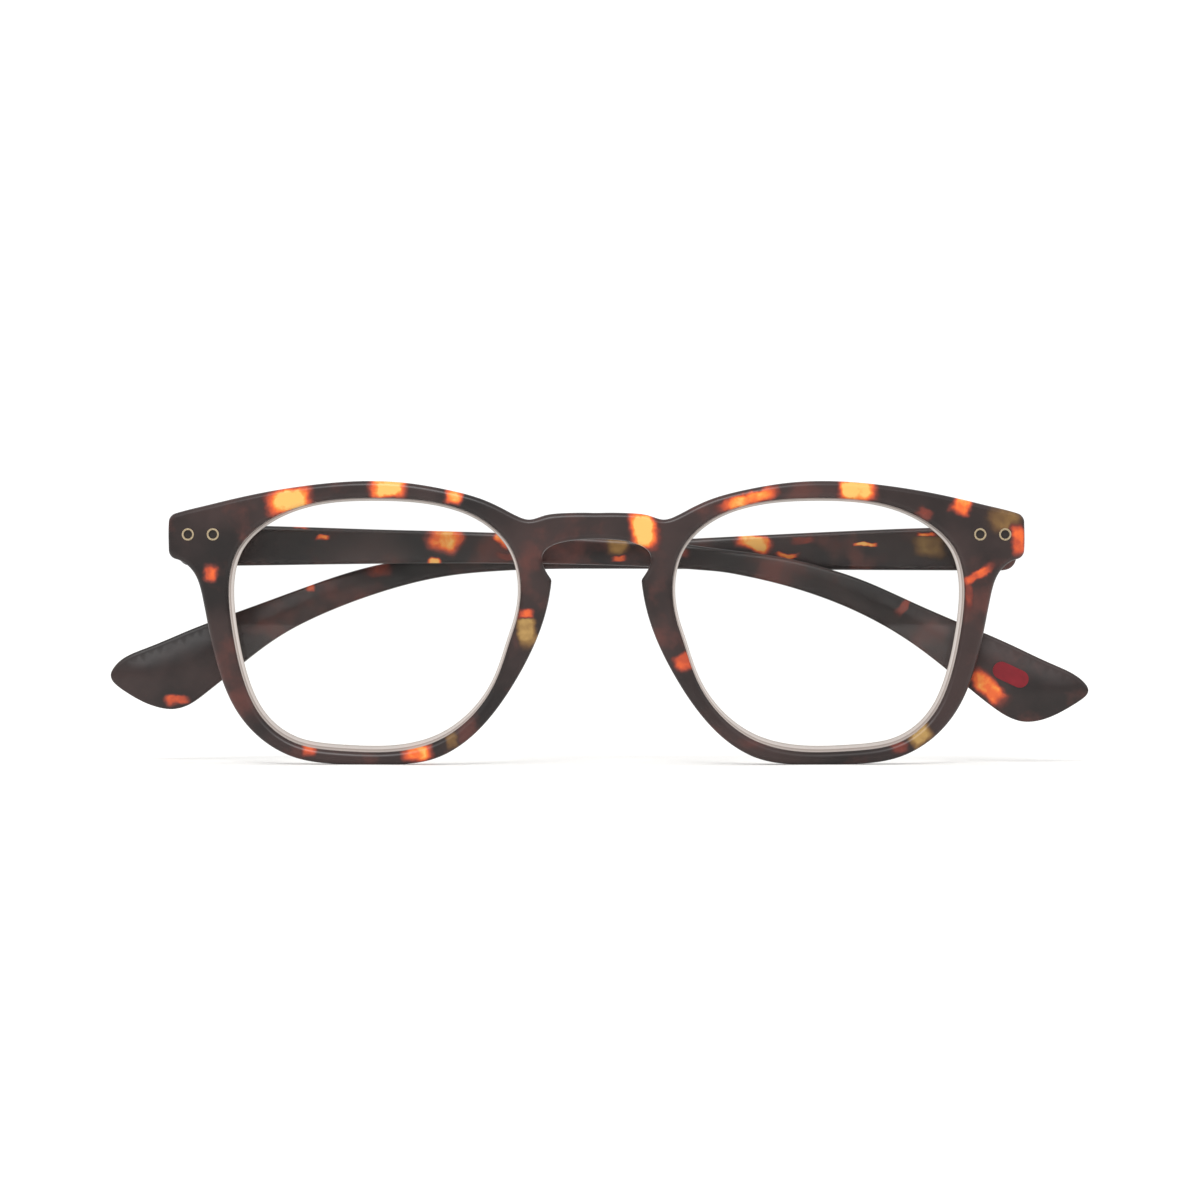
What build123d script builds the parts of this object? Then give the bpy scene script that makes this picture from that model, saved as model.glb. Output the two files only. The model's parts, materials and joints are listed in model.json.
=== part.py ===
"""Folding reading glasses: keyhole-bridge front, two lenses, riveted five-knuckle hinges, two temples.

Millimetres. +X is the wearer's left, +Y points back to the wearer, +Z is up. The origin is on the
centre plane, level with the bottom of the rims, on the bridge's front face. The temples are folded.
"""
import os
from math import cos, sin, sqrt

from build123d import *

os.makedirs("parts", exist_ok=True)

SIDES = {"right": -1, "left": 1}

# Front: a curved sheet of constant thickness.
WRAP_R = 385.0
FRONT_T = 4.0
HALF_WIDTH = 67.9
ENDPIECE_TOP = 39.5
ENDPIECE_BOTTOM = 32.6
CORNER_R = 1.5
NOSE_CORNER_R = 0.9

# Room that cutting tools take beyond the material.
CLEAR = 5.0
CUT_DEPTH = 20.0
CUT_HEIGHT = 60.0
NEAR = 0.01

# Outline of the left half, as (x, z): brow from the bridge outwards, then the rim back to the nose.
BROW = [
    (0, 39.75), (5.5, 39.7), (8.4, 39.3), (10.6, 38.7), (13.0, 39.5), (17.5, 41.7), (23.5, 43.4),
    (30.0, 44.5), (37.5, 44.8), (46.0, 44.1), (54.5, 42.7), (61.5, 41.1), (HALF_WIDTH, ENDPIECE_TOP),
]
RIM = [
    (HALF_WIDTH, ENDPIECE_BOTTOM), (65.4, 31.9), (63.6, 29.9), (62.6, 26.9), (61.5, 21.4), (59.9, 15.0),
    (57.4, 9.0), (53.6, 4.4), (48.4, 1.3), (42.5, 0.15), (36.5, 0), (30.0, 0.1), (25.7, 0.9),
    (20.6, 3.7), (16.2, 8.2), (12.4, 13.9), (8.9, 21.2), (7.1, 29.2),
]
# Control points of the bridge's arch, from the nose end of the rim to the centre.
KEYHOLE = [(7.1, 29.2), (9.4, 32.2), (10.4, 35.6), (0, 35.6)]

# Lenses: plus power, so the front sphere is the tighter one.
LENS_OPENING = [
    (13.2, 21.0), (12.0, 27.5), (13.2, 33.5), (17.6, 38.4), (24.6, 41.2), (34.8, 42.1), (45.4, 41.2),
    (52.6, 38.2), (57.0, 33.7), (58.3, 27.0), (57.6, 20.5), (55.9, 13.2), (52.6, 6.9), (47.2, 3.2),
    (41.0, 2.2), (33.0, 2.0), (25.5, 3.6), (19.4, 8.0), (15.4, 14.4),
]
OPENING_STEPS = 32
LENS_X = 35.3
LENS_Z = 22.0
GROOVE = 0.6
LENS_T = 2.4
LENS_FRONT_R = 140.0
LENS_BACK_R = 280.0
LENS_PROUD = 0.2

# Hinge: five knuckles on one screw, three on the front's leaf and two on the temple's.
HINGE_X = 63.4
HINGE_Y = 13.2
HINGE_Z = 34.5
KNUCKLE_R = 1.2
KNUCKLE_H = 1.3
KNUCKLE_GAP = 0.06
KNUCKLE_PITCH = KNUCKLE_H + KNUCKLE_GAP
BARREL_TOP = 2 * KNUCKLE_PITCH + KNUCKLE_H / 2
ARM_U = (-0.9, 0.9)
SCREW_R = 0.6
SCREW_CLEARANCE = 0.03
SCREW_HEAD_R = 1.05
SCREW_HEAD_T = 0.6
SCREW_SLOT = 0.3
SCREW_TIP = 0.55
LEAF_T = 1.0
FRONT_LEAF_BACK = 4.0
FRONT_LEAF_U = (-2.9, 4.1)
FRONT_LEAF_FOOT = 0.5

# Temples.
TEMPLE_T = 3.3
TEMPLE_SETBACK = 1.25
BUTT_U = -3.8
BUTT_CORNER = 1.2
BUTT_GAP = 0.1
REST_TURN = -2.0
OPEN_TURN = 92.0
# Profile from the top of the butt round the tip to the bottom of the butt. Each point is its distance
# from the screw, then its height on the right and on the left temple, which are set a little apart.
TEMPLE_PROFILE = [
    (BUTT_U, 3.5, 3.2), (9, 3.4, 3.1), (20, 3.05, 2.7), (35, 2.6, 2.0), (50, 2.15, 1.25),
    (65, 1.3, 0.4), (78, 0.35, -0.4), (88, -0.95, -1.3), (95, -2.1, -2.15), (100, -3.4, -3.15),
    (106, -5.4, -4.9), (113, -8.5, -7.4), (121, -12.0, -10.3), (129, -15.4, -13.3),
    (136.5, -18.9, -16.4), (140.4, -20.9, -18.3), (141.8, -22.6, -20.2), (140.7, -24.4, -22.4),
    (137.6, -26.3, -24.4), (133.8, -27.8, -25.9), (130.6, -27.8, -26.0), (127.3, -26.1, -24.1),
    (122, -21.9, -19.9), (115, -16.3, -14.6), (108, -11.9, -10.9), (100, -8.3, -7.8),
    (92, -5.8, -5.5), (84, -4.1, -4.2), (74, -3.3, -3.6), (60, -2.8, -3.5), (40, -2.6, -3.6),
    (20, -2.8, -3.7), (BUTT_U + BUTT_CORNER, -3.1, -3.8),
]
# The points at which one curve of the profile ends and the next starts.
PROFILE_JOINS = (0, 6, 17, 27, 32)
TEMPLE_LEAF_U = (-3.1, 3.6)
TEMPLE_LEAF_H = 4.0

# Tubular rivets, filed to the surface they show on.
RIVET_R = 0.97
RIVET_BORE_R = 0.7
RIVET_BORE_DEPTH = 0.5
RIVET_TAIL_R = 0.6
RIVET_PROUD = 0.06
FRONT_RIVET_X = {"outer": 64.8, "inner": 60.8}
FRONT_RIVET_Z = 36.4
TEMPLE_RIVET_U = {"rear": 2.1, "front": -1.9}

# Inlaid marker on the head side of the right temple's tip.
MARKER_U = 129.4
MARKER_W = -20.4
MARKER_L = 6.0
MARKER_H = 2.8
MARKER_T = 0.8
MARKER_PROUD = 0.1
MARKER_TURN = -25.0


def finish(builder, label):
    """Label a finished piece and write its STEP file."""
    builder.part.label = label
    export_step(builder.part, f"parts/{label}.step")
    return builder.part


def hinge_plane(side):
    """Frame of a hinge: x along the folded temple, z up the screw."""
    return Plane(origin=(side * HINGE_X, HINGE_Y, HINGE_Z), x_dir=(-side, 0, 0), z_dir=(0, 0, 1))


def temple_plane(side, turn=REST_TURN):
    """The hinge frame turned about the screw with the temple."""
    return hinge_plane(side).rotated((0, 0, turn))


def profile_plane(side, setback=0.0):
    """Plane of a temple's profile, x to the tip and y up, moved back from the screw by setback."""
    folded = temple_plane(side)
    flat = Plane(origin=folded.origin, x_dir=folded.x_dir, z_dir=-folded.y_dir)
    return flat.offset(side * setback)


def shell_y(x):
    """How far back the front's outer surface lies at x."""
    return WRAP_R - sqrt(WRAP_R**2 - x**2)


def span_box(u_span, v_span, w_span, mode=Mode.ADD):
    """A box between two corners, given as (low, high) along each axis."""
    spans = (u_span, v_span, w_span)
    middle = tuple((low + high) / 2 for low, high in spans)
    size = [abs(high - low) for low, high in spans]
    with Locations(middle):
        Box(*size, mode=mode)


def opening_points(side, grow=0.0):
    """Points of a rim's lens opening, moved outwards by grow, for a closed spline."""
    path = Spline([(side * x, z) for x, z in LENS_OPENING], periodic=True)
    points = []
    for step in range(OPENING_STEPS):
        along = path.tangent_at(step / OPENING_STEPS)
        outward = Vector(-along.Y, along.X) * side
        points.append(path.position_at(step / OPENING_STEPS) + outward * grow)
    return points


def lens_blank(side, label):
    """A lens, edged to seat in the rim's groove."""
    tilt = side * LENS_X / WRAP_R
    outward = Vector(sin(tilt), -cos(tilt), 0)
    middle = Vector(0, WRAP_R, LENS_Z) + outward * (WRAP_R - FRONT_T / 2)
    apex = middle + outward * (FRONT_T / 2 + LENS_PROUD)
    front_centre = apex - outward * LENS_FRONT_R
    back_centre = apex - outward * (LENS_T + LENS_BACK_R)
    edge = opening_points(side, GROOVE)
    with BuildPart() as lens:
        with BuildSketch(Plane.XZ.offset(CLEAR)):
            with BuildLine():
                Spline(edge, periodic=True)
            make_face()
        extrude(amount=-CUT_DEPTH)
        with Locations(front_centre):
            Sphere(LENS_FRONT_R, mode=Mode.INTERSECT)
        with Locations(back_centre):
            Sphere(LENS_BACK_R, mode=Mode.SUBTRACT)
    return finish(lens, label)


def front_leaf(side, label):
    """The front's hinge leaf: a plate let into the endpiece, with three knuckles on arms."""
    back = -side
    plate = (-back * FRONT_LEAF_BACK, -back * (FRONT_LEAF_BACK + LEAF_T))
    levels = [step * KNUCKLE_PITCH for step in (-2, 0, 2)]
    with BuildPart(hinge_plane(side)) as blank:
        span_box(ARM_U, plate, (-BARREL_TOP, BARREL_TOP))
        span_box(FRONT_LEAF_U, plate, (FRONT_LEAF_FOOT, BARREL_TOP))
        for level in levels:
            height = (level - KNUCKLE_H / 2, level + KNUCKLE_H / 2)
            span_box(ARM_U, (0, -back * (FRONT_LEAF_BACK + LEAF_T / 2)), height)
        with Locations([(0, 0, level) for level in levels]):
            Cylinder(KNUCKLE_R, KNUCKLE_H)
            Cylinder(SCREW_R + SCREW_CLEARANCE, KNUCKLE_H, mode=Mode.SUBTRACT)
    with BuildPart() as leaf:
        add(blank.part)
        for tail in front_rivet_tails(side):
            add(tail, mode=Mode.SUBTRACT)
    return finish(leaf, label)


def temple_leaf(side, label):
    """The temple's hinge leaf: a plate flush in the temple's inner face, with two knuckles."""
    back = -side
    plate = (back * TEMPLE_SETBACK, back * (TEMPLE_SETBACK + LEAF_T))
    levels = [step * KNUCKLE_PITCH for step in (-1, 1)]
    with BuildPart(temple_plane(side)) as leaf:
        span_box(TEMPLE_LEAF_U, plate, (-TEMPLE_LEAF_H / 2, TEMPLE_LEAF_H / 2))
        for level in levels:
            height = (level - KNUCKLE_H / 2, level + KNUCKLE_H / 2)
            span_box(ARM_U, (0, back * (TEMPLE_SETBACK + LEAF_T / 2)), height)
        with Locations([(0, 0, level) for level in levels]):
            Cylinder(KNUCKLE_R, KNUCKLE_H)
            Cylinder(SCREW_R + SCREW_CLEARANCE, KNUCKLE_H, mode=Mode.SUBTRACT)
        for u in TEMPLE_RIVET_U.values():
            with Locations(Location((u, back * (TEMPLE_SETBACK + LEAF_T / 2), 0), (90, 0, 0))):
                Cylinder(RIVET_TAIL_R, LEAF_T, mode=Mode.SUBTRACT)
    return finish(leaf, label)


def hinge_screw(side, label):
    """A slotted screw down through the five knuckles."""
    length = 2 * BARREL_TOP + SCREW_TIP
    with BuildPart(hinge_plane(side)) as screw:
        with Locations((0, 0, BARREL_TOP)):
            Cylinder(SCREW_R, length, align=(Align.CENTER, Align.CENTER, Align.MAX))
            Cylinder(SCREW_HEAD_R, SCREW_HEAD_T, align=(Align.CENTER, Align.CENTER, Align.MIN))
        chamfer(screw.edges().group_by(Axis.Z)[0], SCREW_R / 3)
        slot = (BARREL_TOP + SCREW_HEAD_T / 2, BARREL_TOP + SCREW_HEAD_T)
        span_box((-SCREW_HEAD_R, SCREW_HEAD_R), (-SCREW_SLOT / 2, SCREW_SLOT / 2), slot, Mode.SUBTRACT)
    return finish(screw, label)


def front_rivet_body(side, x, bored):
    """A front rivet along Y: a wide barrel in the endpiece and a thin tail through the leaf."""
    leaf_front = HINGE_Y - FRONT_LEAF_BACK - LEAF_T
    start = shell_y(x) - RIVET_R
    barrel = Plane(origin=(side * x, leaf_front, FRONT_RIVET_Z), x_dir=(1, 0, 0), z_dir=(0, -1, 0))
    with BuildPart(mode=Mode.PRIVATE) as rivet:
        with BuildSketch(barrel):
            Circle(RIVET_R)
        extrude(amount=leaf_front - start)
        with Locations((0, WRAP_R, FRONT_RIVET_Z)):
            Cylinder(WRAP_R + RIVET_PROUD, CUT_DEPTH, mode=Mode.INTERSECT)
        with BuildSketch(barrel):
            Circle(RIVET_TAIL_R)
        extrude(amount=-LEAF_T)
        if bored:
            with BuildSketch(barrel.offset(leaf_front - shell_y(x) - RIVET_BORE_DEPTH)):
                Circle(RIVET_BORE_R)
            extrude(amount=2 * RIVET_BORE_DEPTH, mode=Mode.SUBTRACT)
    return rivet


def front_rivet_tails(side):
    """The solid shapes that the front rivets take out of the pieces they pass through."""
    return [front_rivet_body(side, x, bored=False).part for x in FRONT_RIVET_X.values()]


def temple_rivet_body(side, u, bored):
    """A temple rivet: its barrel shows on the outer face, its tail passes through the leaf."""
    tail = profile_plane(side, TEMPLE_SETBACK)
    barrel = profile_plane(side, TEMPLE_SETBACK + LEAF_T)
    face = profile_plane(side, TEMPLE_SETBACK + TEMPLE_T - RIVET_BORE_DEPTH)
    with BuildPart(mode=Mode.PRIVATE) as rivet:
        with BuildSketch(tail):
            with Locations((u, 0)):
                Circle(RIVET_TAIL_R)
        extrude(amount=side * LEAF_T)
        with BuildSketch(barrel):
            with Locations((u, 0)):
                Circle(RIVET_R)
        extrude(amount=side * (TEMPLE_T - LEAF_T + RIVET_PROUD))
        if bored:
            with BuildSketch(face):
                with Locations((u, 0)):
                    Circle(RIVET_BORE_R)
            extrude(amount=side * 2 * RIVET_BORE_DEPTH, mode=Mode.SUBTRACT)
    return rivet


def marker_body():
    """The pill-shaped inlay in the right temple's tip."""
    side = SIDES["right"]
    with BuildPart(mode=Mode.PRIVATE) as marker:
        with BuildSketch(profile_plane(side, TEMPLE_SETBACK - MARKER_PROUD)):
            with Locations((MARKER_U, MARKER_W)):
                SlotOverall(MARKER_L, MARKER_H, rotation=MARKER_TURN)
        extrude(amount=side * (MARKER_T + MARKER_PROUD))
    return marker


def butt_seat(side):
    """The room behind an endpiece that the open temple's butt end takes."""
    back = -side
    with BuildPart(temple_plane(side, back * OPEN_TURN), mode=Mode.PRIVATE) as seat:
        reach = (BUTT_U - BUTT_GAP, BUTT_U + CLEAR)
        span_box(reach, (0, back * (TEMPLE_SETBACK + 2 * TEMPLE_T)), (-3 * CLEAR, 3 * CLEAR))
    return seat.part


def front(lenses, leaves):
    """The front: rims, bridge and endpieces in one piece."""
    openings = [opening_points(side) for side in SIDES.values()]
    cuts = lenses + leaves
    for side in SIDES.values():
        cuts += [butt_seat(side), *front_rivet_tails(side)]
    with BuildPart() as front_frame:
        with BuildSketch(Plane.XZ.offset(CLEAR)) as outline:
            with BuildLine():
                brow = Spline(BROW)
                Line(brow @ 1, (HALF_WIDTH, ENDPIECE_BOTTOM))
                Spline(RIM)
                arch = Bezier(KEYHOLE)
                Line(arch @ 1, brow @ 0)
            make_face()
            mirror(about=Plane.YZ)
            ends = outline.vertices().filter_by(lambda v: abs(v.X) > HALF_WIDTH - NEAR)
            fillet(ends, CORNER_R)
            nose = outline.vertices().filter_by(lambda v: abs(v.Y - KEYHOLE[0][1]) < NEAR)
            fillet(nose, NOSE_CORNER_R)
            for opening in openings:
                with BuildLine():
                    Spline(opening, periodic=True)
                make_face(mode=Mode.SUBTRACT)
        extrude(amount=-CUT_DEPTH)
        with Locations((0, WRAP_R, LENS_Z)):
            Cylinder(WRAP_R, CUT_HEIGHT, mode=Mode.INTERSECT)
            Cylinder(WRAP_R - FRONT_T, CUT_HEIGHT, mode=Mode.SUBTRACT)
        for cut in cuts:
            add(cut, mode=Mode.SUBTRACT)
    return finish(front_frame, "front_frame")


def temple(side, inlays, label):
    """A temple: straight to the ear bend, then down to a broad tip."""
    profile = [(u, left if side == SIDES["left"] else right) for u, right, left in TEMPLE_PROFILE]
    corner = (BUTT_U, profile[-1][1] + BUTT_CORNER)
    with BuildPart() as arm:
        with BuildSketch(profile_plane(side, TEMPLE_SETBACK)):
            with BuildLine():
                for first, last in zip(PROFILE_JOINS, PROFILE_JOINS[1:]):
                    Spline(profile[first:last + 1])
                Line(profile[-1], corner)
                Line(corner, profile[0])
            make_face()
        extrude(amount=side * TEMPLE_T)
        for inlay in inlays:
            add(inlay, mode=Mode.SUBTRACT)
    return finish(arm, label)


lenses = [lens_blank(side, f"{name}_lens") for name, side in SIDES.items()]
leaves = [front_leaf(side, f"{name}_front_hinge_leaf") for name, side in SIDES.items()]
front(lenses, leaves)
marker = marker_body()
finish(marker, "power_marker")
for name, side in SIDES.items():
    hinge_screw(side, f"{name}_hinge_screw")
    for place, x in FRONT_RIVET_X.items():
        finish(front_rivet_body(side, x, bored=True), f"{name}_{place}_front_rivet")
    inlays = [temple_leaf(side, f"{name}_temple_hinge_leaf")]
    for place, u in TEMPLE_RIVET_U.items():
        finish(temple_rivet_body(side, u, bored=True), f"{name}_{place}_temple_rivet")
        inlays.append(temple_rivet_body(side, u, bored=False).part)
    if name == "right":
        inlays.append(marker.part)
    temple(side, inlays, f"{name}_temple")
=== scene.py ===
import json
from math import ceil, cos, pi, radians, sin, sqrt

import bmesh
import bpy
import numpy as np
from mathutils import Matrix, Vector
from mathutils.geometry import delaunay_2d_cdt, intersect_line_line_2d


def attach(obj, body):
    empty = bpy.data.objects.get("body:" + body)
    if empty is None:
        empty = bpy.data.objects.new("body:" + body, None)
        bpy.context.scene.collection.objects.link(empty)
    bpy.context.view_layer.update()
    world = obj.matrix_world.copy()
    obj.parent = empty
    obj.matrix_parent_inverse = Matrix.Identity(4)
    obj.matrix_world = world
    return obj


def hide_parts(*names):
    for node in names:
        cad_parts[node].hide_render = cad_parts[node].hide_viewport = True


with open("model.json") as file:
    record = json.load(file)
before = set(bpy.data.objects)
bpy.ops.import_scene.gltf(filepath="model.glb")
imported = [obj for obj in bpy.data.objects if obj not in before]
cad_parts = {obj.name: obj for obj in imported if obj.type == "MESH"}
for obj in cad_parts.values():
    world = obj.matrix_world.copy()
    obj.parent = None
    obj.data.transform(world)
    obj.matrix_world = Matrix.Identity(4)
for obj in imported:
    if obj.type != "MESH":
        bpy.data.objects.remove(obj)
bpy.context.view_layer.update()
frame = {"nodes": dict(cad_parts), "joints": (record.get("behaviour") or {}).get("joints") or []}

MM = 0.001
SIDES = {"right": -1, "left": 1}

# Driving sizes of the CAD model, in metres and radians.
WRAP_R = 385 * MM
FRONT_T = 4 * MM
SEAT_Y = 9.15 * MM
LENS_X = 35.3 * MM
LENS_Z = 22 * MM
LENS_FRONT_R = 140 * MM
LENS_PROUD = 0.2 * MM
TEMPLE_T = 3.3 * MM
TEMPLE_SETBACK = 1.25 * MM
REST_TURN = radians(-2)

# Where the CAD rivets are at rest, in mm: the middle of each pair, its height and its pitch.
FRONT_RIVET_MIDDLE = 62.8
FRONT_RIVET_Z = 36.4
TEMPLE_RIVET_MIDDLE = 63.3
TEMPLE_RIVET_Z = 34.5
RIVET_PITCH = 4.0

# Edges rounded over (width, depth), and the recesses that the CAD rivets fill.
FRONT_EDGE = (0.8 * MM, 0.75 * MM)
TEMPLE_EDGE = (0.85 * MM, 0.6 * MM)
TEMPLE_SOFTENING = 6
RIVET_DEPTH = 1.0 * MM

# The temples' faces swell on the arm and again on the tip, from one place along them to another,
# and stay a skin below the CAD faces, so that the leaf and the marker in them show.
ARM_START = (10 * MM, 35 * MM)
TIP_START = (80 * MM, 118 * MM)
ARM_DOME = 0.25 * MM
TIP_DOME = 0.4 * MM
DOME_REACH = 4.5 * MM
TEMPLE_SKIN = 0.02 * MM

# The band that a lens edge shows inside its rim.
BEVEL_LATERAL = 0.85 * MM
BEVEL_BELOW = 1.0 * MM
BEVEL_MIN = 0.42 * MM
BEVEL_HIDDEN = 0.2 * MM
BEVEL_LIFT = 0.25 * MM
BEVEL_SKIN = 0.03 * MM
BEVEL_STEPS = 6

# How finely meshes follow the CAD.
TOUCH = 0.003 * MM
EDGE_STEPS = 5
SPACING = 0.5 * MM
LEAST_SPACING = 0.05 * MM
INSET_STEP = 0.15 * MM
TANGLE = 12
MERGE = 0.0005 * MM
CORNER = radians(28)
GRID = 1.3 * MM
SHARP_ANGLE = radians(50)
NORMAL_WEIGHT = 90
ROUNDED_DIGITS = 7

# The studio, in metres and radians, with the camera's sensor and lens in mm.
FLOOR_HALF = 6.0
SUN_DIRECTION = (0.15, 1.0, -0.75)
SUN_STRENGTH = 1.3
SUN_ANGLE = radians(25)
CAMERA_AT = (0.00055, -0.95, 0.026)
CAMERA_NEAR = 0.01
CAMERA_SENSOR_MM = 36
CAMERA_LENS_MM = 180.8


# Outlines, read from the CAD meshes.

def outline_loops(node, on_surface):
    """The closed edges of the part of a CAD node that lies on a surface, longest first."""
    mesh = frame["nodes"][node].data
    faces = [f for f in mesh.polygons if all(on_surface(mesh.vertices[i].co) for i in f.vertices)]
    uses = {}
    for face in faces:
        points = [mesh.vertices[i].co for i in face.vertices]
        corners = [tuple(round(c, ROUNDED_DIGITS) for c in point) for point in points]
        for a, b in zip(corners, corners[1:] + corners[:1]):
            uses.setdefault(frozenset((a, b)), []).append((a, b))
    following = {pair[0][0]: pair[0][1] for pair in uses.values() if len(pair) == 1}
    loops = []
    while following:
        start, point = following.popitem()
        loop = [Vector(start)]
        while point in following:
            loop.append(Vector(point))
            point = following.pop(point)
        loops.append(loop)
    return sorted(loops, key=loop_length, reverse=True)


def loop_length(loop):
    return sum((b - a).length for a, b in zip(loop, loop[1:] + loop[:1]))


def turned(loop, clockwise):
    """The loop, running clockwise or not."""
    area = sum(a.x * b.y - b.x * a.y for a, b in zip(loop, loop[1:] + loop[:1]))
    return loop[::-1] if (area < 0) != clockwise else loop


def resampled(loop, spacing):
    """The loop as a smooth closed curve through its points, sampled at an even spacing."""
    loop = [p for i, p in enumerate(loop) if (p - loop[i - 1]).length > LEAST_SPACING]
    points = []
    for i, here in enumerate(loop):
        before, after, last = loop[i - 1], loop[(i + 1) % len(loop)], loop[(i + 2) % len(loop)]
        span = after - here
        leave = smooth_tangent(here - before, span, span) * span.length
        arrive = smooth_tangent(span, last - after, span) * span.length
        steps = max(1, round(span.length / spacing))
        points += [hermite(here, after, leave, arrive, step / steps) for step in range(steps)]
    return points


def smooth_tangent(back, ahead, own):
    """The direction of a smooth curve between two chords, or of its own chord at a corner."""
    if back.angle(ahead) > CORNER:
        return own.normalized()
    weight = back.length / (back.length + ahead.length)
    return back.normalized() * (1 - weight) + ahead.normalized() * weight


def hermite(a, b, leave, arrive, t):
    """The point at t, from 0 to 1, of the cubic curve from a to b with these end tangents."""
    curve = a * (2 * t**3 - 3 * t**2 + 1) + b * (3 * t**2 - 2 * t**3)
    return curve + leave * (t**3 - 2 * t**2 + t) + arrive * (t**3 - t**2)


def with_neighbours(loop):
    """Each point of a closed loop, between the one before it and the one after it."""
    return zip(loop[-1:] + loop[:-1], loop, loop[1:] + loop[:1])


def softened(loop):
    """The loop with each point drawn towards its neighbours."""
    return [(before + here * 2 + after) / 4 for before, here, after in with_neighbours(loop)]


def material_side(loop):
    """For each point of a loop, the unit direction into the material, which lies on its left."""
    directions = []
    for before, here, after in with_neighbours(loop):
        along = ((here - before).normalized() + (after - here).normalized()).normalized()
        directions.append(Vector((-along.y, along.x)))
    return directions


def inset(loop, amount):
    """The loop moved into the material in small steps, which keep tight corners in order."""
    steps = ceil(amount / INSET_STEP)
    for _ in range(steps):
        sides = material_side(loop)
        loop = softened([p + side * amount / steps for p, side in zip(loop, sides)])
    return untangled(loop)


def untangled(loop):
    """The loop with each short run that crosses itself drawn into the crossing point."""
    loop = list(loop)
    count = len(loop)
    for i in range(count):
        for reach in range(TANGLE, 1, -1):
            run = [loop[(i + k) % count] for k in (0, 1, reach, reach + 1)]
            crossing = intersect_line_line_2d(*run)
            if crossing and (run[0] - run[1]).length > 0 and (run[2] - run[3]).length > 0:
                for k in range(1, reach + 1):
                    loop[(i + k) % count] = crossing.copy()
                break
    return loop


def inside(points, loops):
    """For each point, whether it lies in the area that the loops bound together."""
    x, y = np.array(points).T
    crossings = np.zeros(len(x), int)
    for loop in loops:
        for a, b in zip(loop, loop[1:] + loop[:1]):
            beside = (a.y > y) != (b.y > y)
            if beside.any():
                crossings += beside & (x < a.x + (y - a.y) * (b.x - a.x) / (b.y - a.y))
    return crossings % 2 == 1


def clearance(points, loops):
    """How far each point is from the nearest of the loops' points."""
    edge = np.array([p for loop in loops for p in loop])
    return np.array([np.sqrt(((edge - p) ** 2).sum(1)).min() for p in np.array(points)])


def grid_points(loops):
    """Evenly spaced points well inside the area that the loops bound."""
    low, high = np.min(loops[0], axis=0), np.max(loops[0], axis=0)
    columns, rows = [np.arange(a, b, GRID) for a, b in zip(low, high)]
    grid = [(x, y) for x in columns for y in rows]
    grid = [p for p, kept in zip(grid, inside(grid, loops)) if kept]
    return [Vector(p) for p, far in zip(grid, clearance(grid, loops)) if far > GRID / 2]


# Slabs: flat or bent sheets with rounded edges.

def add_ring(bm, loop, place, depth):
    """A vertex for each flat point of a loop, where place puts it at that depth."""
    return [bm.verts.new(place(point, depth)) for point in loop]


def bridge(bm, ring, other):
    """Quads between two rings of the same length."""
    count = len(ring)
    for i in range(count):
        j = (i + 1) % count
        bm.faces.new((ring[i], ring[j], other[j], other[i]))


def add_cap(bm, rings, loops, inner):
    """Triangles that fill the area between rings, whose flat outlines are loops, by way of the
    inner (flat point, vertex) pairs."""
    points = [p for loop in loops for p in loop] + [p for p, _ in inner]
    verts = [v for ring in rings for v in ring] + [v for _, v in inner]
    edges = []
    first = 0
    for loop in loops:
        count = len(loop)
        edges += [(first + i, first + (i + 1) % count) for i in range(count)]
        first += count
    flat, _, faces, origins, _, _ = delaunay_2d_cdt(points, edges, [], 0, MERGE)
    middles = [sum((flat[i] for i in face), Vector((0, 0))) / 3 for face in faces]
    for face, kept in zip(faces, inside(middles, loops)):
        corners = [verts[origins[i][0]] for i in face]
        if kept and len(set(corners)) == 3:
            bm.faces.new(corners)


def add_edge(bm, loop, thickness, edge, place):
    """The edge of a sheet along a loop, rounded at both faces. Gives its first and last ring."""
    width, drop = edge
    turns = [step / EDGE_STEPS * pi / 2 for step in range(EDGE_STEPS + 1)]
    levels = [(width * (1 - sin(turn)), drop * (1 - cos(turn))) for turn in turns]
    rings = [add_ring(bm, inset(loop, i), place, d) for i, d in levels]
    rings += [add_ring(bm, inset(loop, i), place, thickness - d) for i, d in reversed(levels)]
    for ring, other in zip(rings, rings[1:]):
        bridge(bm, ring, other)
    return rings[0], rings[-1]


def add_recess(bm, loop, place, level, bottom):
    """A recess with a flat floor, from one depth to another. Gives the ring round its mouth."""
    mouth = add_ring(bm, loop, place, level)
    floor = add_ring(bm, loop, place, bottom)
    bridge(bm, mouth, floor)
    bm.faces.new(floor)
    return mouth


def add_swell(bm, flat, place, level, outward, dome):
    """(flat point, vertex) pairs inside the flat loops, on a face that swells as dome says."""
    grid = grid_points(flat)
    pairs = []
    for point, far_in in zip(grid, clearance(grid, flat)):
        swell = dome(point, far_in)
        pairs.append((point, bm.verts.new(place(point, level + outward * swell))))
    return pairs


def slab(name, loops, thickness, edge, place, pockets, dome=None):
    """A sheet whose edges are rounded over edge = (width, depth). pockets holds, for each face,
    its (loop, depth) recesses. dome gives how far the faces swell at points with a clearance."""
    bm = bmesh.new()
    near, far = zip(*[add_edge(bm, loop, thickness, edge, place) for loop in loops])
    for borders, level, outward, recesses in zip((near, far), (0, thickness), (-1, 1), pockets):
        flat = [inset(loop, edge[0]) for loop in loops]
        rings = list(borders)
        for loop, depth in recesses:
            rings.append(add_recess(bm, loop, place, level, level - outward * depth))
            flat.append(loop)
        inner = add_swell(bm, flat, place, level, outward, dome) if dome else []
        add_cap(bm, rings, flat, inner)
    return finish_mesh(name, bm)


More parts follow.
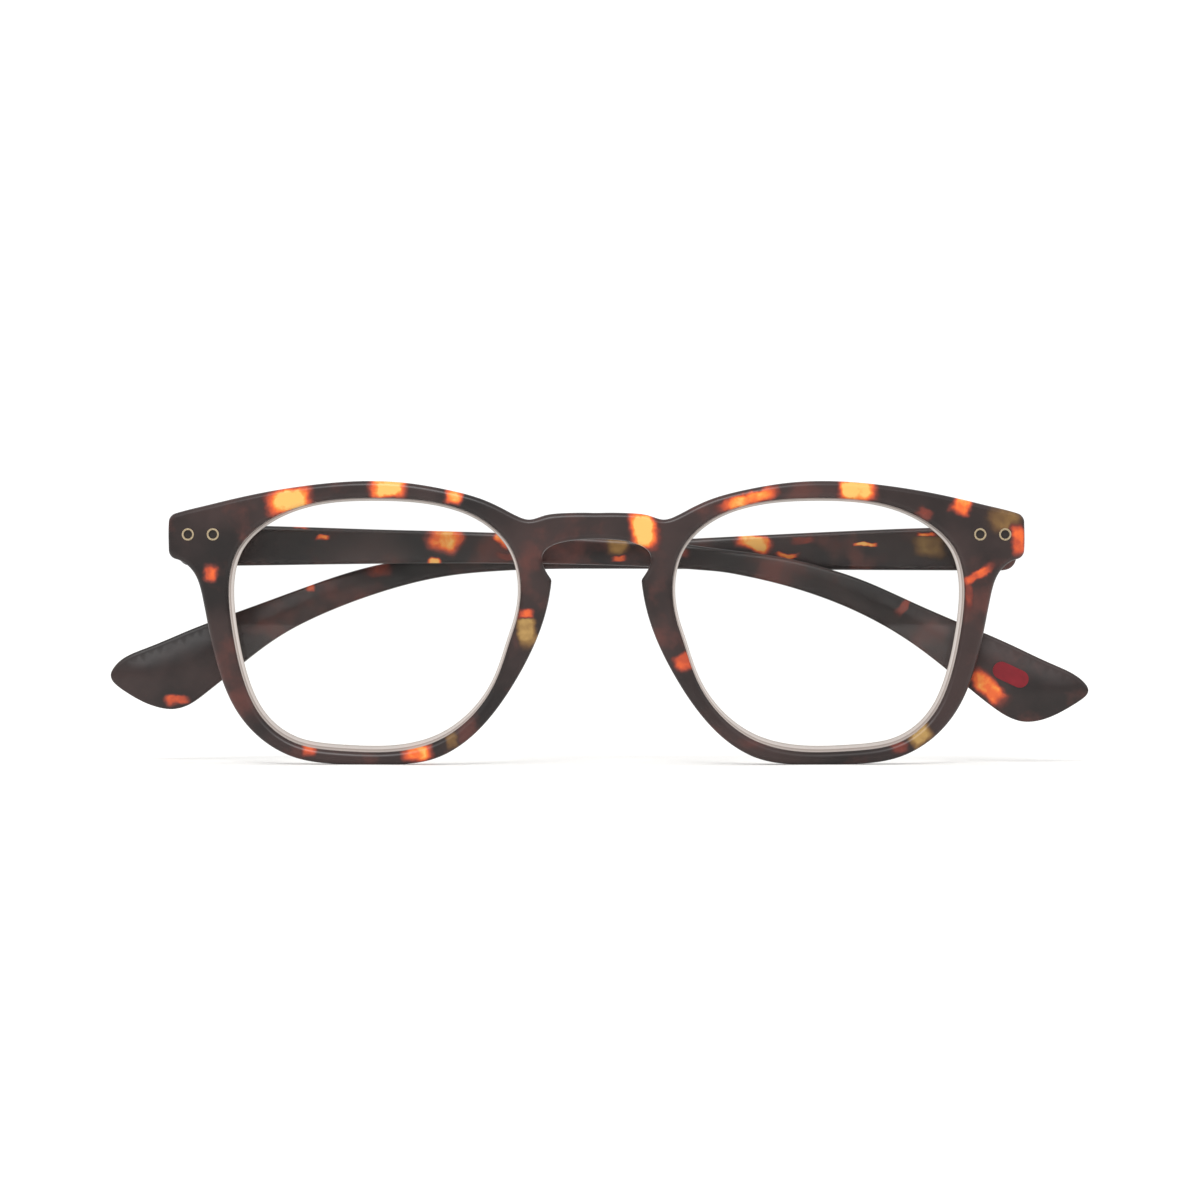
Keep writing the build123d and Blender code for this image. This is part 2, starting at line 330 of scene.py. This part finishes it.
def finish_mesh(name, bm):
    """A smooth-shaded object from bmesh data."""
    bmesh.ops.remove_doubles(bm, verts=bm.verts, dist=2 * MERGE)
    bmesh.ops.recalc_face_normals(bm, faces=bm.faces)
    mesh = bpy.data.meshes.new(name)
    bm.to_mesh(mesh)
    bm.free()
    obj = bpy.data.objects.new(name, mesh)
    bpy.context.scene.collection.objects.link(obj)
    mesh.shade_smooth()
    mesh.set_sharp_from_angle(angle=SHARP_ANGLE)
    normals = obj.modifiers.new("normals", "WEIGHTED_NORMAL")
    normals.keep_sharp = True
    normals.weight = NORMAL_WEIGHT
    return obj


# The front.

def front_y(x, depth):
    """Where a depth in the front lies, from its outer surface to the flat seats at its back."""
    near = WRAP_R - sqrt(WRAP_R**2 - x**2)
    far = min(WRAP_R - sqrt((WRAP_R - FRONT_T) ** 2 - x**2), SEAT_Y)
    return near + (far - near) * depth / FRONT_T


def place_front(point, depth):
    """A point, given as (x, z), at a depth in the front."""
    return Vector((point.x, front_y(point.x, depth), point.y))


def front_loops():
    """The outline, the two lens openings and the rivet holes of the front, as (x, z)."""
    def on_front(co):
        return abs(sqrt(co.x**2 + (co.y - WRAP_R) ** 2) - WRAP_R) < TOUCH

    flat = [[Vector((p.x, p.z)) for p in loop] for loop in outline_loops("front_frame", on_front)]
    flat = [resampled(loop, SPACING) for loop in flat]
    outline, openings, holes = flat[0], flat[1:3], flat[3:]
    return [turned(outline, False)] + [turned(o, True) for o in openings], holes


def build_front():
    """The front, and the two lens openings in it."""
    loops, holes = front_loops()
    pockets = ([(hole, RIVET_DEPTH) for hole in holes], [])
    front = slab("front", loops, FRONT_T, FRONT_EDGE, place_front, pockets)
    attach(front, "front")
    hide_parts("front_frame")
    return front, loops[1:]


# The temples.

class HingeFrame:
    """Directions of a folded temple: u to its tip, w up the screw, v away from the front."""

    def __init__(self, name):
        side = SIDES[name]
        joint = next(j for j in frame["joints"] if j["name"] == f"{name}_temple_hinge")
        self.origin = Vector(joint["pos_m"])
        turn = Matrix.Rotation(REST_TURN, 3, "Z")
        self.u = turn @ Vector((-side, 0, 0))
        self.w = Vector((0, 0, 1))
        self.v = self.w.cross(self.u) * -side

    def place(self, point, depth):
        """A point at a depth in the temple, whose edges are thinner than the CAD slab."""
        off_middle = (depth - TEMPLE_T / 2) * temple_thinning(point.x)
        back = TEMPLE_SETBACK + TEMPLE_T / 2 + off_middle
        return self.origin + self.u * point.x + self.w * point.y + self.v * back

    def flat(self, co):
        """A place as (along the temple, up)."""
        return Vector(((co - self.origin).dot(self.u), (co - self.origin).dot(self.w)))

    def back(self, co):
        """How far a place is behind the hinge's axis."""
        return (co - self.origin).dot(self.v)


def temple_swell(along):
    """How far each face swells above a temple's edges: most at the tip, not at the hinge."""
    return ARM_DOME * smooth_step(along, *ARM_START) + TIP_DOME * smooth_step(along, *TIP_START)


def temple_thinning(along):
    """The edges' thickness as a share of a temple's full thickness."""
    return 1 - (TEMPLE_SKIN + temple_swell(along)) * 2 / TEMPLE_T


def temple_dome(point, far_in):
    """How far a face swells at a point, so that HingeFrame.place thins it to temple_swell."""
    roundness = 1 - (1 - min(far_in / DOME_REACH, 1)) ** 2
    return roundness * temple_swell(point.x) / temple_thinning(point.x)


def smooth_step(value, start, end):
    """0 up to start and 1 from end, with a soft slope between."""
    share = min(max((value - start) / (end - start), 0), 1)
    return share * share * (3 - 2 * share)


def build_temple(name):
    """A temple. The CAD leaf and marker stay in its inner face, and the rivets in its outer one."""
    hinge = HingeFrame(name)
    outer = TEMPLE_SETBACK + TEMPLE_T

    def on_outer_face(co):
        return abs(hinge.back(co) - outer) < TOUCH

    loops = outline_loops(f"{name}_temple", on_outer_face)
    outline, *holes = [resampled([hinge.flat(p) for p in loop], SPACING) for loop in loops]
    for _ in range(TEMPLE_SOFTENING):
        outline = softened(outline)
    outline = turned(outline, False)
    pockets = ([], [(hole, RIVET_DEPTH) for hole in holes])
    arm = slab(f"{name}_arm", [outline], TEMPLE_T, TEMPLE_EDGE, hinge.place, pockets, temple_dome)
    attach(arm, f"{name}_temple")
    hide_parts(f"{name}_temple")
    return arm


# The frosted bevel that each lens shows inside its rim.

def lens_front_y(side, x, z):
    """Where the front sphere of a lens lies."""
    tilt = side * LENS_X / WRAP_R
    outward = Vector((sin(tilt), -cos(tilt)))
    centre = Vector((0, WRAP_R)) + outward * (WRAP_R + LENS_PROUD - LENS_FRONT_R)
    return centre.y - sqrt(LENS_FRONT_R**2 - (x - centre.x) ** 2 - (z - LENS_Z) ** 2)


def bevel_width(side, outward):
    """Wide at the temple side, narrower below, and narrowest at the top and the nose."""
    lateral = max(0, outward.x * side)
    below = max(0, -outward.y)
    more_beside = (BEVEL_LATERAL - BEVEL_MIN) * lateral**2
    more_below = (BEVEL_BELOW - BEVEL_MIN) * below**2
    return BEVEL_MIN + more_beside + more_below


def build_bevel(name, opening):
    """A band on the front of a lens, with how far across it each point lies."""
    side = SIDES[name]
    bm = bmesh.new()
    across = bm.verts.layers.float.new("across")
    sides = material_side(opening)
    rings = []
    for step in range(BEVEL_STEPS + 1):
        share = step / BEVEL_STEPS
        ring = []
        for point, outward in zip(opening, sides):
            width = bevel_width(side, outward)
            at = point + outward * (BEVEL_HIDDEN * (1 - share) - width * share)
            lift = BEVEL_LIFT * (1 - share) + BEVEL_SKIN
            vert = bm.verts.new((at.x, lens_front_y(side, at.x, at.y) - lift, at.y))
            vert[across] = share
            ring.append(vert)
        rings.append(ring)
    for ring, other in zip(rings, rings[1:]):
        bridge(bm, ring, other)
    bevel = finish_mesh(f"{name}_lens_bevel", bm)
    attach(bevel, "front")
    return bevel


# Materials.

SRGB_OFFSET = 0.055
SRGB_POWER = 2.4
MIX_SHARE, MIX_A, MIX_B, MIX_RESULT = 0, 6, 7, 2


def tone(red, green, blue):
    """A screen colour, with each channel above 10 of 255, as a linear one."""
    shares = [(c / 255 + SRGB_OFFSET) / (1 + SRGB_OFFSET) for c in (red, green, blue)]
    return tuple(share**SRGB_POWER for share in shares) + (1,)


def grey(level):
    """A linear grey."""
    return (level, level, level, 1)


def fill_ramp(ramp, stops):
    """The (position, colour) stops, set in a new colour ramp, which has two."""
    ramp.elements[0].position, ramp.elements[0].color = stops[0]
    ramp.elements[1].position, ramp.elements[1].color = stops[-1]
    for position, colour in stops[1:-1]:
        ramp.elements.new(position).color = colour


class Paint:
    """Short calls that build one material's nodes. place is where a point is at rest, in mm."""

    def __init__(self, name):
        self.material = bpy.data.materials.new(name)
        self.material.use_nodes = True
        self.tree = self.material.node_tree
        self.tree.nodes.clear()
        place = self.add("TexCoord").outputs["Object"]
        self.place = self.vector("SCALE", place, scale=1 / MM)

    def add(self, kind, sockets=None, **settings):
        """A shader node with these settings, and values or links for its input sockets."""
        node = self.tree.nodes.new("ShaderNode" + kind)
        for key, value in settings.items():
            setattr(node, key, value)
        for key, value in (sockets or {}).items():
            self.set(node.inputs[key], value)
        return node

    def set(self, socket, value):
        """Links an output to a socket, or sets the socket to a plain value."""
        if isinstance(value, bpy.types.NodeSocket):
            self.tree.links.new(value, socket)
        else:
            socket.default_value = value

    def math(self, operation, *values):
        node = self.add("Math", dict(enumerate(values)), operation=operation)
        return node.outputs[0]

    def vector(self, operation, *values, scale=None):
        node = self.add("VectorMath", dict(enumerate(values)), operation=operation)
        if scale is not None:
            self.set(node.inputs["Scale"], scale)
        return node.outputs["Value" if operation == "DOT_PRODUCT" else "Vector"]

    def squareness(self, vector):
        """The fourth root of the sum of a vector's fourth powers: a length with square corners."""
        fourth = self.vector("MULTIPLY", vector, vector)
        fourth = self.vector("MULTIPLY", fourth, fourth)
        return self.math("POWER", self.vector("DOT_PRODUCT", fourth, (1, 1, 1)), 0.25)

    def noise(self, scale, vector=None, detail=3.0):
        sockets = {"Vector": vector or self.place, "Scale": scale, "Detail": detail}
        return self.add("TexNoise", sockets).outputs["Fac"]

    def wobble(self, scale, amount):
        """The place, moved by noise of that scale."""
        colour = self.add("TexNoise", {"Vector": self.place, "Scale": scale}).outputs["Color"]
        shift = self.vector("SUBTRACT", colour, (0.5, 0.5, 0.5))
        return self.vector("ADD", self.place, self.vector("SCALE", shift, scale=amount))

    def fade(self, value, start, end):
        """0 at start and 1 at end, with a soft slope between."""
        sockets = {"Value": value, "From Min": start, "From Max": end}
        return self.add("MapRange", sockets, interpolation_type="SMOOTHSTEP").outputs["Result"]

    def span(self, value, low, high):
        """A value from 0 to 1 as one from low to high."""
        sockets = {"Value": value, "To Min": low, "To Max": high}
        return self.add("MapRange", sockets).outputs["Result"]

    def mix(self, share, a, b):
        node = self.add("Mix", {MIX_SHARE: share, MIX_A: a, MIX_B: b}, data_type="RGBA")
        return node.outputs[MIX_RESULT]

    def ramp(self, value, stops):
        node = self.add("ValToRGB", {"Fac": value})
        fill_ramp(node.color_ramp, stops)
        return node.outputs["Color"]

    def bump(self, height, strength, distance):
        sockets = {"Height": height, "Strength": strength, "Distance": distance}
        return self.add("Bump", sockets).outputs["Normal"]

    def finish(self, shader):
        output = self.add("OutputMaterial")
        self.tree.links.new(shader, output.inputs["Surface"])
        return self.material

    def satin(self, colour, roughness, metallic=0.0, normal=None, specular=0.5):
        sockets = {"Base Color": colour, "Roughness": roughness, "Metallic": metallic}
        sockets["Specular IOR Level"] = specular
        if normal:
            sockets["Normal"] = normal
        return self.finish(self.add("BsdfPrincipled", sockets).outputs["BSDF"])


def patch_field(paint, place, patches):
    """The strongest of several soft four-cornered patches at each point, in mm at rest."""
    field = None
    for x, z, half_w, half_h, turn, peak in patches:
        local = {"Vector": paint.vector("SUBTRACT", place, (x, 0, z)), "Angle": radians(turn)}
        turned_back = paint.add("VectorRotate", local, rotation_type="Y_AXIS").outputs[0]
        scaled = paint.vector("MULTIPLY", turned_back, (1 / half_w, 0, 1 / half_h))
        inside_share = paint.fade(paint.squareness(scaled), PATCH_OUTER, PATCH_INNER)
        level = paint.math("MULTIPLY", inside_share, peak)
        field = level if field is None else paint.math("MAXIMUM", field, level)
    return field


def acetate_ground(paint, place):
    """The dark colour between the patches, in large soft clouds."""
    depth = paint.fade(paint.noise(0.06, detail=4.0), start=0.35, end=0.65)
    mottle = paint.fade(paint.noise(0.13, place, detail=5.0), start=0.5, end=0.72)
    ground = paint.mix(depth, BASE_DARK, BASE_MIDDLE)
    return paint.mix(paint.math("MULTIPLY", mottle, WARM_SHARE), ground, BASE_WARM)


def tortoise(name, warm, olive):
    """Near-black brown acetate with warm and olive patches that run through it."""
    paint = Paint(name)
    fine = paint.vector("SUBTRACT", paint.wobble(scale=1.2, amount=0.45), paint.place)
    place = paint.vector("ADD", paint.wobble(scale=0.3, amount=1.9), fine)
    cloud = paint.fade(paint.noise(0.45, place, detail=4.0), start=0.3, end=0.68)
    cloud = paint.span(cloud, low=0.74, high=1.0)
    heat = paint.math("MULTIPLY", patch_field(paint, place, warm), cloud)
    green = paint.math("MULTIPLY", patch_field(paint, place, olive), cloud)
    colour = acetate_ground(paint, place)
    olive_share = paint.fade(green, start=0.0, end=OLIVE_FULL)
    colour = paint.mix(olive_share, colour, paint.ramp(green, OLIVE_RAMP))
    warm_share = paint.fade(heat, start=0.0, end=WARM_FULL)
    colour = paint.mix(warm_share, colour, paint.ramp(heat, WARM_RAMP))
    roughness = paint.span(paint.noise(0.5, detail=4.0), low=0.28, high=0.38)
    grain = paint.bump(paint.noise(9.0, detail=2.0), strength=0.1, distance=0.02 * MM)
    return paint.satin(colour, roughness, normal=grain, specular=ACETATE_SPECULAR)


def rivet_metal(name, middle_x, middle_z):
    """A bright filed ring round a bore painted dark as shade, for rivets in pairs at both sides."""
    paint = Paint(name)
    parts = paint.add("SeparateXYZ", {"Vector": paint.place}).outputs
    off_middle = paint.math("SUBTRACT", paint.math("ABSOLUTE", parts["X"]), middle_x)
    across = paint.math("SUBTRACT", paint.math("ABSOLUTE", off_middle), RIVET_PITCH / 2)
    up = paint.math("SUBTRACT", parts["Z"], middle_z)
    squares = [paint.math("POWER", offset, 2) for offset in (across, up)]
    radius = paint.math("SQRT", paint.math("ADD", *squares))
    # The bore inside the ring is painted dark, not metal, as shade in the hollow.
    shine = paint.fade(radius, *BORE_EDGE)
    brushed = paint.noise(6.0, detail=4.0)
    colour = paint.mix(shine, BORE_PAINTED_SHADE, paint.mix(brushed, *RING_TONES))
    roughness = paint.span(brushed, low=0.2, high=0.38)
    return paint.satin(colour, roughness, metallic=shine)


def brass():
    """Gold-coloured hinge metal with fine wear across it."""
    paint = Paint("hinge_gold")
    stretched = paint.vector("MULTIPLY", paint.place, WEAR_STRETCH)
    wear = paint.noise(1.4, stretched, detail=5.0)
    roughness = paint.span(wear, low=0.22, high=0.42)
    grain = paint.bump(wear, strength=0.15, distance=0.03 * MM)
    colour = paint.mix(wear, *GOLD_TONES)
    return paint.satin(colour, roughness, metallic=1.0, normal=grain)


def marker_red():
    """The dark red plastic of the marker, a little cloudy."""
    paint = Paint("marker_red")
    cloud = paint.noise(0.8, detail=4.0)
    roughness = paint.span(cloud, low=0.26, high=0.4)
    return paint.satin(paint.mix(cloud, *MARKER_TONES), roughness, specular=MARKER_SPECULAR)


def clear_lens():
    """A thin clear plastic lens: it tints little and mirrors at a slant."""
    paint = Paint("clear_lens")
    tint = paint.mix(paint.noise(0.06, detail=3.0), *LENS_TINTS)
    clear = paint.add("BsdfTransparent", {"Color": tint}).outputs[0]
    gloss = paint.add("BsdfGlossy", {"Roughness": LENS_ROUGHNESS}).outputs[0]
    slant = paint.add("LayerWeight", {"Blend": 0.5}).outputs["Facing"]
    share = paint.span(paint.math("POWER", slant, MIRROR_POWER), *MIRROR_SHARES)
    return paint.finish(paint.add("MixShader", {0: share, 1: clear, 2: gloss}).outputs[0])


def frosted_bevel():
    """Ground lens edge: pale, with fine lines along it and painted shade where it meets the rim."""
    paint = Paint("frosted_bevel")
    across = paint.add("Attribute", attribute_name="across").outputs["Fac"]
    speckle = paint.span(paint.noise(5.0, detail=4.0), low=0.0, high=0.25)
    colour = paint.mix(speckle, paint.ramp(across, BEVEL_RAMP_WITH_RIM_SHADE), BEVEL_SPECKLE)
    return paint.satin(colour, roughness=0.55)


# Colours and light levels.
SKY_RAMP = [(0.0, grey(0.08)), (0.4, grey(1.35)), (1.0, grey(0.85))]
BACKDROP = grey(1.14)
FLOOR_WHITE = tone(251, 250, 248)
FLOOR_ROUGHNESS = 0.9
ACETATE_SPECULAR = 0.4
BASE_DARK = tone(24, 17, 16)
BASE_MIDDLE = tone(54, 39, 37)
BASE_WARM = tone(88, 48, 42)
WARM_SHARE = 0.8
RING_TONES = (tone(150, 128, 96), tone(232, 214, 182))
# Painted shade for the rivets' bores.
BORE_PAINTED_SHADE = tone(30, 20, 15)
GOLD_TONES = (tone(168, 124, 58), tone(236, 200, 128))
WEAR_STRETCH = (1, 1, 9)
MARKER_TONES = (tone(96, 12, 22), tone(132, 20, 34))
MARKER_SPECULAR = 0.35
LENS_TINTS = ((0.95, 0.955, 0.95, 1), (0.985, 0.985, 0.98, 1))
LENS_ROUGHNESS = 0.03
BEVEL_SPECKLE = tone(120, 112, 104)

# The painted shade of a rivet's bore ends between these radii, in mm.
BORE_EDGE = (0.66, 0.72)

# How much a lens mirrors, seen straight on and edge on, and the power of the rise between.
MIRROR_SHARES = (0.015, 0.8)
MIRROR_POWER = 5.0

# Colours along the strength of a patch, and the strengths at which they hide the ground.
WARM_FULL = 0.36
OLIVE_FULL = 0.4
WARM_RAMP = [
    (0.0, tone(44, 26, 24)), (0.2, tone(74, 34, 29)), (0.4, tone(112, 48, 37)),
    (0.6, tone(184, 72, 40)), (0.76, tone(226, 100, 42)), (0.9, tone(234, 140, 58)),
    (1.0, tone(236, 178, 94)),
]
OLIVE_RAMP = [
    (0.0, tone(40, 29, 24)), (0.4, tone(86, 60, 36)), (0.7, tone(128, 96, 52)),
    (1.0, tone(166, 132, 76)),
]

# Colours across a lens edge, from the rim inwards, darker at the rim as painted shade under it.
BEVEL_RAMP_WITH_RIM_SHADE = [
    (0.0, tone(146, 130, 122)), (0.25, tone(196, 186, 180)), (0.48, tone(150, 134, 126)),
    (0.6, tone(206, 198, 193)), (0.9, tone(190, 181, 175)), (1.0, tone(128, 114, 106)),
]

# Where a patch fades out and where it is full, as shares of its half sizes.
PATCH_OUTER = 1.5
PATCH_INNER = 0.45

# Patches of the acetate at rest, as (x, z, half width, half height, turn, strength), in mm and
# degrees.
YELLOW, ORANGE, RED, FAINT = 1.25, 1.0, 0.74, 0.44
FRONT_WARM = [
    (-48.6, 41.7, 3.5, 2.1, 12, YELLOW), (-32.8, 43.9, 2.7, 1.9, 0, YELLOW),
    (-22.5, 42.6, 1.2, 1.6, -15, ORANGE), (-61.3, 30.4, 1.2, 1.2, 0, RED),
    (-45.4, 2.4, 1.2, 1.3, 0, RED), (-28.1, 2.2, 2.2, 1.6, 0, ORANGE),
    (7.5, 37.0, 2.1, 3.0, 8, YELLOW), (24.0, 41.9, 4.4, 1.0, 16, ORANGE),
    (41.2, 43.6, 2.7, 1.9, 0, YELLOW), (51.9, 39.8, 1.4, 1.1, -30, FAINT),
    (57.9, 41.3, 1.6, 1.6, -20, ORANGE), (66.9, 35.6, 1.3, 2.6, 0, RED),
    (60.4, 29.8, 2.8, 0.8, 30, RED), (59.0, 26.8, 0.7, 2.2, 0, FAINT),
    (13.7, 16.2, 1.8, 1.2, 15, RED), (47.8, 2.8, 1.5, 1.2, 0, FAINT),
    (-11.0, 23.9, 1.2, 0.9, 0, RED),
]
FRONT_OLIVE = [
    (65.0, 38.8, 2.8, 2.0, 0, 0.65), (-11.0, 21.1, 1.3, 2.7, 8, 1.05),
    (51.3, 4.5, 1.8, 1.6, 40, 1.1), (-22.8, 3.6, 0.8, 1.3, 0, 0.6),
]
TEMPLE_WARM = {
    "right": [
        (-47.3, 37.9, 1.3, 0.6, 0, RED), (-43.7, 35.7, 1.2, 0.4, 0, ORANGE),
        (-24.4, 35.8, 2.7, 2.2, -20, ORANGE), (-14.7, 35.9, 1.7, 1.3, -40, ORANGE),
        (-26.0, 31.9, 1.0, 0.7, 0, YELLOW), (3.7, 32.7, 1.3, 0.5, 0, RED),
        (49.0, 25.3, 1.9, 0.7, 50, FAINT), (62.4, 12.0, 3.4, 1.5, -45, ORANGE),
        (-13.5, 33.0, 3.2, 0.6, 0, FAINT), (12.0, 33.4, 2.6, 0.8, 0, FAINT),
    ],
    "left": [
        (25.3, 35.2, 2.9, 1.3, -14, YELLOW), (30.6, 33.1, 1.6, 0.5, 0, ORANGE),
        (43.1, 35.0, 1.8, 0.3, 0, YELLOW), (53.0, 36.7, 1.4, 0.3, 0, ORANGE),
        (-46.1, 27.8, 0.9, 0.8, 0, RED), (-67.5, 9.9, 2.0, 0.8, 0, RED),
        (-60.9, 22.2, 1.0, 0.8, 0, FAINT), (-35.2, 30.7, 2.4, 1.1, 0, FAINT),
        (33.0, 35.6, 2.0, 0.7, 0, FAINT),
    ],
}
TEMPLE_OLIVE = {
    "right": [(3.4, 34.9, 1.7, 1.5, 0, 0.75), (63.6, 10.6, 1.4, 1.2, -30, 0.9)],
    "left": [(53.3, 34.8, 2.3, 1.9, 0, 0.8)],
}


# The scene.

def paint_cad_nodes():
    """Materials for the CAD nodes that stay visible."""
    front_rivets = rivet_metal("front_rivet_metal", FRONT_RIVET_MIDDLE, FRONT_RIVET_Z)
    temple_rivets = rivet_metal("temple_rivet_metal", TEMPLE_RIVET_MIDDLE, TEMPLE_RIVET_Z)
    gold, red, clear = brass(), marker_red(), clear_lens()
    endings = {
        "front_rivet": front_rivets, "temple_rivet": temple_rivets, "hinge_leaf": gold,
        "hinge_screw": gold, "marker": red, "lens": clear,
    }
    for name, node in frame["nodes"].items():
        for ending, paint in endings.items():
            if name.endswith(ending):
                set_material(node, paint)


def set_material(obj, material):
    """The material as an object's only one."""
    obj.data.materials.clear()
    obj.data.materials.append(material)


def build_floor():
    """A white floor, which belongs to no body."""
    signs = [(-1, -1), (1, -1), (1, 1), (-1, 1)]
    corners = [(x * FLOOR_HALF, y * FLOOR_HALF, 0) for x, y in signs]
    mesh = bpy.data.meshes.new("floor")
    mesh.from_pydata(corners, [], [(0, 1, 2, 3)])
    floor = bpy.data.objects.new("floor", mesh)
    bpy.context.scene.collection.objects.link(floor)
    paint = Paint("floor_white")
    set_material(floor, paint.satin(FLOOR_WHITE, FLOOR_ROUGHNESS))


def build_world():
    """A white backdrop for the camera, and a soft light that is brightest part-way up."""
    world = bpy.data.worlds.new("studio")
    world.use_nodes = True
    tree = world.node_tree
    tree.nodes.clear()

    def add(kind):
        return tree.nodes.new("ShaderNode" + kind)

    up = add("SeparateXYZ")
    tree.links.new(add("TexCoord").outputs["Generated"], up.inputs[0])
    sky = add("ValToRGB")
    fill_ramp(sky.color_ramp, SKY_RAMP)
    tree.links.new(up.outputs["Z"], sky.inputs["Fac"])
    light, backdrop, mix = add("Background"), add("Background"), add("MixShader")
    tree.links.new(sky.outputs["Color"], light.inputs["Color"])
    backdrop.inputs["Color"].default_value = BACKDROP
    tree.links.new(add("LightPath").outputs["Is Camera Ray"], mix.inputs[0])
    tree.links.new(light.outputs[0], mix.inputs[1])
    tree.links.new(backdrop.outputs[0], mix.inputs[2])
    tree.links.new(mix.outputs[0], add("OutputWorld").inputs["Surface"])
    bpy.context.scene.world = world


def build_sun():
    """A soft light from the front and above."""
    data = bpy.data.lights.new("sun", "SUN")
    data.energy = SUN_STRENGTH
    data.angle = SUN_ANGLE
    sun = bpy.data.objects.new("sun", data)
    sun.rotation_euler = Vector(SUN_DIRECTION).to_track_quat("-Z", "Y").to_euler()
    bpy.context.scene.collection.objects.link(sun)


def build_camera():
    """A level camera straight in front, as in the photo."""
    data = bpy.data.cameras.new("camera")
    data.sensor_width = CAMERA_SENSOR_MM
    data.lens = CAMERA_LENS_MM
    data.clip_start = CAMERA_NEAR
    camera = bpy.data.objects.new("camera", data)
    camera.location = CAMERA_AT
    camera.rotation_euler = (pi / 2, 0, 0)
    bpy.context.scene.collection.objects.link(camera)
    bpy.context.scene.camera = camera


front, openings = build_front()
set_material(front, tortoise("front_tortoise", FRONT_WARM, FRONT_OLIVE))
for name in SIDES:
    temple = build_temple(name)
    set_material(temple, tortoise(f"{name}_tortoise", TEMPLE_WARM[name], TEMPLE_OLIVE[name]))
frost = frosted_bevel()
for opening in openings:
    name = "left" if opening[0].x > 0 else "right"
    set_material(build_bevel(name, opening), frost)
paint_cad_nodes()
build_floor()
build_sun()
build_world()
build_camera()
bpy.context.scene.view_settings.view_transform = "Standard"
